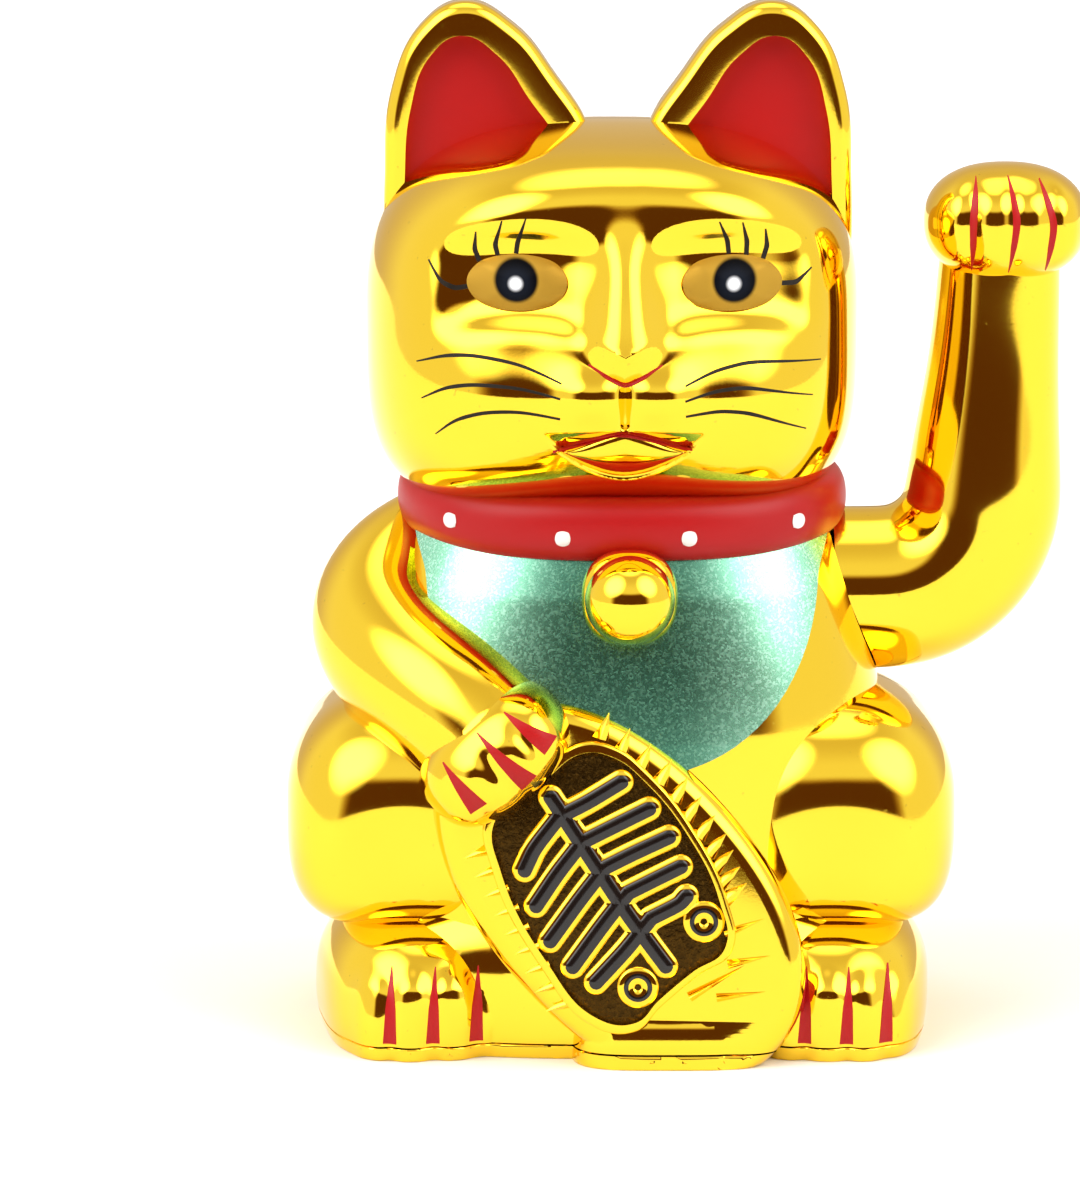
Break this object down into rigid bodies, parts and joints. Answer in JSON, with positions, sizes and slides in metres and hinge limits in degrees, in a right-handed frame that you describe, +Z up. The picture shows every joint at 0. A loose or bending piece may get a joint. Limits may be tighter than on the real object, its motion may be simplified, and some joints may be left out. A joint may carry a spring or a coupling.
{
  "type": "beckoning cat figurine",
  "caption": "Seated gold-chromed plastic cat figurine whose raised paw waves on an internal coil-driven pendulum, with red collar, green bib, bell and an oval coin.",
  "frame": {"origin": "centre of the base plate's underside, on the table", "axes": "+Z up, the cat faces -Y, the waving arm is on +X"},
  "size_m": [0.1167, 0.0771, 0.15],
  "materials": {
    "gold_chrome": "vacuum-metallised plastic under a yellow clear lacquer, mirror bright, with red, green, black and orange painted details",
    "white_plastic": "natural moulded polystyrene",
    "steel": "nickel-plated steel",
    "magnet": "bare ferrite disc",
    "copper_wire": "enamelled copper winding",
    "board": "solder-masked board",
    "black_plastic": "moulded black",
    "blue_sleeve": "plain shrink sleeve without print",
    "red_plastic": "red insulation"
  },
  "bodies": {
    "casing": {"front_shell": "gold_chrome", "back_shell": "gold_chrome", "base_plate": "gold_chrome", "base_screw_1": "steel", "base_screw_2": "steel", "base_screw_3": "steel", "base_screw_4": "steel", "bracket_screw_1": "steel", "bracket_screw_2": "steel", "pivot_bracket": "white_plastic", "coil_bobbin": "white_plastic", "coil_winding": "copper_wire", "circuit_board": "board", "transistor": "black_plastic", "capacitor": "blue_sleeve", "resistor": "red_plastic", "aa_cell": "blue_sleeve", "battery_spring": "steel", "battery_contact_plus": "steel", "lead_red": "red_plastic", "lead_black": "black_plastic"},
    "waving_arm": {"arm_front_half": "gold_chrome", "arm_back_half": "gold_chrome", "pendulum_lever": "white_plastic", "pendulum_magnet": "magnet", "pivot_axle": "steel", "axle_clip": "steel", "counterweight": "steel"},
    "battery_door": {"battery_door": "gold_chrome"}
  },
  "joints": [
    {"name": "arm_wave", "type": "hinge", "parent": "casing", "child": "waving_arm", "pos_m": [0, 0, 0.0635], "axis": [1, 0, 0], "range_deg": [-20, 20]},
    {"name": "battery_door_slide", "type": "slide", "parent": "casing", "child": "battery_door", "axis": [0, 1, 0], "range_m": [0, 0.024]}
  ]
}
